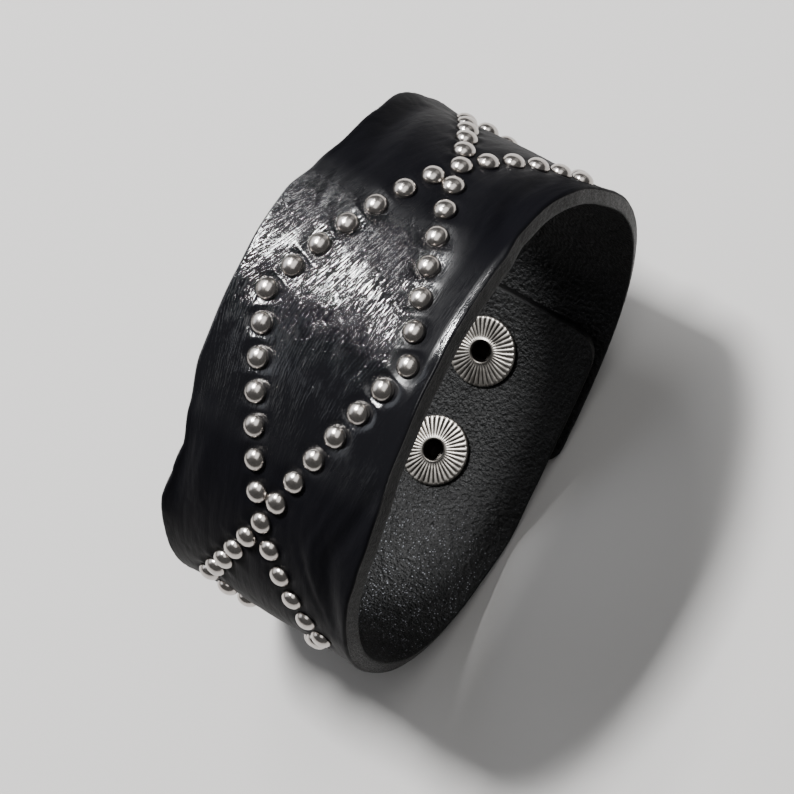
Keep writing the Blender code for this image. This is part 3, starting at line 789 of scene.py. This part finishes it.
class Shader:
    """A material's node tree, with short ways to add and join its nodes."""

    def __init__(self, name):
        self.material = bpy.data.materials.new(name)
        self.material.use_nodes = True
        self.tree = self.material.node_tree
        self.surface = self.tree.nodes["Principled BSDF"]

    def node(self, kind, inputs=None, **settings):
        """New node with its settings and its inputs, each a value or another node's output."""
        made = self.tree.nodes.new(kind)
        for name, value in settings.items():
            setattr(made, name, value)
        for name, value in (inputs or {}).items():
            self.put(made, name, value)
        return made

    def put(self, node, name, value):
        """Set a node's input to a value or join it to another node's output."""
        if isinstance(value, bpy.types.NodeSocket):
            self.tree.links.new(value, node.inputs[name])
        else:
            node.inputs[name].default_value = value

    def mark(self, name, output="Vector"):
        """Values that the mesh keeps for each of its points."""
        return self.node("ShaderNodeAttribute", attribute_name=name).outputs[output]

    def edges(self, vector):
        """Distance to the nearest border of a pattern of cells."""
        made = self.node("ShaderNodeTexVoronoi", {"Vector": vector, "Scale": 1.0, "Randomness": 1.0},
                         feature="DISTANCE_TO_EDGE")
        return made.outputs["Distance"]

    def noise(self, vector, scale, detail=2.0, roughness=0.5):
        """Noise texture's value."""
        made = self.node("ShaderNodeTexNoise", {
            "Vector": vector, "Scale": scale, "Detail": detail, "Roughness": roughness})
        return made.outputs["Fac"]

    def stretched(self, vector, scale):
        """Vector scaled by axis."""
        return self.node("ShaderNodeMapping", {"Vector": vector, "Scale": scale}).outputs["Vector"]

    def ramp(self, value, stops):
        """Grey or colour looked up from a value, at stops of (place, colour)."""
        made = self.node("ShaderNodeValToRGB", {"Fac": value})
        ramp = made.color_ramp
        while len(ramp.elements) < len(stops):
            ramp.elements.new(0.5)
        for element, (place, colour) in zip(ramp.elements, stops):
            element.position = place
            element.color = (colour, colour, colour, 1.0) if isinstance(colour, float) else (*colour, 1.0)
        return made.outputs["Color"]

    def math(self, operation, first, second):
        """Result of one operation on two values."""
        made = self.node("ShaderNodeMath", operation=operation)
        self.put(made, 0, first)
        self.put(made, 1, second)
        return made.outputs["Value"]

    def bump(self, height, distance, strength, normal=None):
        """Normal bent by a height in metres times its value."""
        inputs = {"Height": height, "Distance": distance, "Strength": strength}
        if normal is not None:
            inputs["Normal"] = normal
        return self.node("ShaderNodeBump", inputs).outputs["Normal"]

    def finish(self, **inputs):
        """Set the surface's inputs and give back the material."""
        for name, value in inputs.items():
            self.put(self.surface, name.replace("_", " "), value)
        return self.material


def grain_material():
    """Near-black leather under a glossy finish, crackled into narrow cells along its crinkle lines."""
    shader = Shader("black_leather_grain")
    place = shader.mark("crinkle_place")
    wobble = shader.node("ShaderNodeTexNoise", {"Vector": place, "Scale": 0.9, "Detail": 2.0})
    bent = shader.node("ShaderNodeVectorMath", operation="MULTIPLY_ADD")
    shader.put(bent, 0, wobble.outputs["Color"])
    shader.put(bent, 1, (1.4, 0.34, 0.0))
    shader.put(bent, 2, place)
    bent = bent.outputs["Vector"]
    cells = shader.edges(shader.stretched(bent, (0.40, 3.00, 1.0)))
    plateaus = shader.ramp(cells, ((0.0, 0.0), (0.07, 0.50), (0.22, 1.0)))
    depth = shader.noise(shader.stretched(place, (0.25, 0.5, 1.0)), 1.0, detail=2.0)
    depth = shader.ramp(depth, ((0.35, 0.25), (0.62, 1.0)))
    cracks = shader.math("MULTIPLY", plateaus, depth)
    streaks = shader.noise(shader.stretched(bent, (0.17, 2.5, 1.0)), 1.0, detail=2.0, roughness=0.5)
    waves = shader.noise(shader.stretched(place, (0.12, 0.42, 1.0)), 1.0, detail=1.0)
    pebble = shader.noise(place, 6.0, detail=1.0)
    strength = shader.mark("crinkle_strength", "Fac")
    normal = shader.bump(waves, 0.00008, strength)
    normal = shader.bump(streaks, 0.00008, strength, normal)
    normal = shader.bump(cracks, 0.00005, strength, normal)
    normal = shader.bump(pebble, 0.00001, 1.0, normal)
    finish = shader.mark("finish_gloss", "Fac")
    gloss = shader.math("MULTIPLY", finish, 0.55)
    dulled = shader.math("MULTIPLY", shader.math("SUBTRACT", 1.0, finish), 0.38)
    roughness = shader.math("ADD", shader.ramp(streaks, ((0.30, 0.13), (0.70, 0.08))), dulled)
    return shader.finish(
        Base_Color=(0.0035, 0.0035, 0.0045, 1.0), Roughness=roughness, Normal=normal,
        Specular_IOR_Level=gloss)


def flesh_material():
    """Black suede of the inner side, pebbled and mottled, with painted glints where the strap turns under: pale
    flecks in its colour that stand in for sparkles of light.
    """
    shader = Shader("black_leather_flesh")
    place = shader.mark("strap_place")
    mottle = shader.noise(place, 0.8, detail=2.0, roughness=0.5)
    pebble = shader.noise(place, 1.9, detail=2.0, roughness=0.55)
    nap = shader.noise(place, 6.0, detail=2.0, roughness=0.6)
    # Painted glints: pale flecks chosen at random over the stretch where the strap turns under, standing in for
    # sparkles of light on the suede.
    glint_cells = shader.node(
        "ShaderNodeTexVoronoi", {"Vector": place, "Scale": 3.2, "Randomness": 1.0}, feature="F1")
    chosen = shader.ramp(glint_cells.outputs["Color"], ((0.55, 0.0), (0.85, 1.0)))
    painted_glint = shader.ramp(glint_cells.outputs["Distance"], ((0.10, 1.0), (0.38, 0.0)))
    walked = shader.node("ShaderNodeSeparateXYZ", {"Vector": place}).outputs["X"]
    share = shader.math("DIVIDE", walked, ROUND * MM)
    turning = shader.ramp(share, ((0.06, 0.10), (0.14, 1.0), (0.36, 1.0), (0.48, 0.10)))
    painted_glint = shader.math("MULTIPLY", shader.math("MULTIPLY", chosen, painted_glint), turning)
    normal = shader.bump(mottle, 0.00030, 0.60)
    normal = shader.bump(pebble, 0.00040, 1.00, normal)
    normal = shader.bump(nap, 0.00010, 0.80, normal)
    colour = shader.ramp(pebble, ((0.36, (0.0006, 0.0006, 0.0007)), (0.62, (0.0042, 0.0043, 0.0044))))
    # The painted glints' pale colour is mixed into the suede's base colour.
    mixed = shader.node("ShaderNodeMix", {"Factor": painted_glint, "A": colour, "B": (0.30, 0.31, 0.34, 1.0)},
                        data_type="RGBA")
    roughness = shader.ramp(nap, ((0.35, 0.42), (0.65, 0.60)))
    return shader.finish(
        Base_Color=mixed.outputs["Result"], Roughness=roughness, Normal=normal, Specular_IOR_Level=0.22)


def edge_material():
    """Dyed cut edge of the leather: dark grey fibres, matt."""
    shader = Shader("black_leather_edge")
    place = shader.mark("strap_place")
    fibre = shader.noise(shader.stretched(place, (1.6, 1.0, 4.0)), 1.0, detail=4.0, roughness=0.7)
    colour = shader.ramp(fibre, ((0.30, (0.0006, 0.0006, 0.0007)), (0.70, (0.0034, 0.0034, 0.0034))))
    roughness = shader.ramp(fibre, ((0.30, 0.40), (0.70, 0.62)))
    normal = shader.bump(fibre, 0.00020, 0.80)
    return shader.finish(Base_Color=colour, Roughness=roughness, Normal=normal, Specular_IOR_Level=0.22)


def stud_material():
    """Dark nickel plate of the studs, lightly worn."""
    shader = Shader("dark_nickel")
    place = shader.node("ShaderNodeTexCoord").outputs["Object"]
    cloud = shader.noise(place, 900.0, detail=3.0)
    fine = shader.noise(place, 5200.0, detail=2.0)
    colour = shader.ramp(cloud, ((0.30, (0.44, 0.41, 0.385)), (0.70, (0.56, 0.525, 0.495))))
    roughness = shader.ramp(fine, ((0.30, 0.19), (0.70, 0.26)))
    normal = shader.bump(cloud, 0.000012, 0.30)
    return shader.finish(Base_Color=colour, Roughness=roughness, Normal=normal, Metallic=1.0)


def snap_material():
    """Pale nickel plate of the snap, tarnished in the grooves, with painted shade near the axis: dark on the
    hole's lip, down the bore and over the head's web.
    """
    shader = Shader("pale_nickel")
    place = shader.node("ShaderNodeTexCoord").outputs["Object"]
    groove = shader.node("ShaderNodeAttribute", attribute_name="groove").outputs["Fac"]
    cloud = shader.noise(place, 650.0, detail=4.0, roughness=0.6)
    fine = shader.noise(place, 4200.0, detail=2.0)
    plate = shader.ramp(cloud, ((0.30, (0.20, 0.187, 0.170)), (0.70, (0.31, 0.293, 0.270))))
    # Tarnish in the grooves and painted shade within the bore's radius, both from the mesh's tint.
    tarnish_and_bore_shade = shader.ramp(groove, ((0.25, 0.0), (0.90, 1.0)))
    mixed = shader.node("ShaderNodeMix", {"Factor": tarnish_and_bore_shade, "A": plate, "B": (0.045, 0.042, 0.038, 1.0)},
                        data_type="RGBA")
    roughness = shader.ramp(cloud, ((0.30, 0.30), (0.70, 0.44)))
    normal = shader.bump(fine, 0.000012, 0.40)
    return shader.finish(Base_Color=mixed.outputs["Result"], Roughness=roughness, Normal=normal, Metallic=1.0)


def make_floor():
    """Plain pale floor under the cuff."""
    shader = Shader("pale_floor")
    material = shader.finish(Base_Color=(*FLOOR_COLOUR, 1.0), Roughness=0.85)
    mesh = bpy.data.meshes.new("floor")
    reach = FLOOR_REACH
    mesh.from_pydata([(-reach, -reach, 0.0), (reach, -reach, 0.0), (reach, reach, 0.0), (-reach, reach, 0.0)],
                     [], [(0, 1, 2, 3)])
    mesh.materials.append(material)
    floor = bpy.data.objects.new("floor", mesh)
    bpy.context.scene.collection.objects.link(floor)


def add_light(name, direction, distance, size, power, colour):
    """Rectangular softbox out along a direction from the cuff, facing it, its first side along X."""
    data = bpy.data.lights.new(name, "AREA")
    data.shape = "RECTANGLE"
    data.size, data.size_y = size
    data.energy = power
    data.color = colour
    light = bpy.data.objects.new(name, data)
    back = Vector(direction).normalized()
    across = (Vector((1.0, 0.0, 0.0)) - back * back.x).normalized()
    facing = Matrix((across, back.cross(across), back)).transposed()
    light.matrix_world = Matrix.Translation(CUFF_TOP + back * distance) @ facing.to_4x4()
    bpy.context.scene.collection.objects.link(light)


def make_lights():
    """Soft studio light: a key over the far side, a narrow glint, dim broad panels and a faint surround."""
    for light in LIGHTS:
        add_light(*light)
    world = bpy.data.worlds.new("studio")
    world.use_nodes = True
    background = world.node_tree.nodes["Background"]
    background.inputs["Color"].default_value = (*WORLD_COLOUR, 1.0)
    background.inputs["Strength"].default_value = WORLD_STRENGTH
    bpy.context.scene.world = world


def make_camera():
    """Camera at the photo's angle."""
    data = bpy.data.cameras.new("camera")
    data.lens = CAMERA_LENS
    data.sensor_width = SENSOR_WIDTH
    data.clip_start = NEAR_CLIP
    camera = bpy.data.objects.new("camera", data)
    forward = (CAMERA_AIM - CAMERA_PLACE).normalized()
    right = forward.cross(Vector((0.0, 0.0, 1.0))).normalized()
    upright = Matrix((right, right.cross(forward), -forward)).transposed()
    roll = Matrix.Rotation(-CAMERA_ROLL, 3, "Z")
    camera.matrix_world = Matrix.Translation(CAMERA_PLACE) @ (upright @ roll).to_4x4()
    bpy.context.scene.collection.objects.link(camera)
    bpy.context.scene.camera = camera


def build():
    """Make every piece, the floor, the light and the camera."""
    make_camera()
    strap = make_strap((grain_material(), edge_material(), flesh_material()))
    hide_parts("leather_band")
    make_studs(stud_material())
    snap_metal = snap_material()
    make_posts(snap_metal)
    make_cap(snap_metal)
    make_floor()
    make_lights()
    bpy.context.view_layer.update()


build()
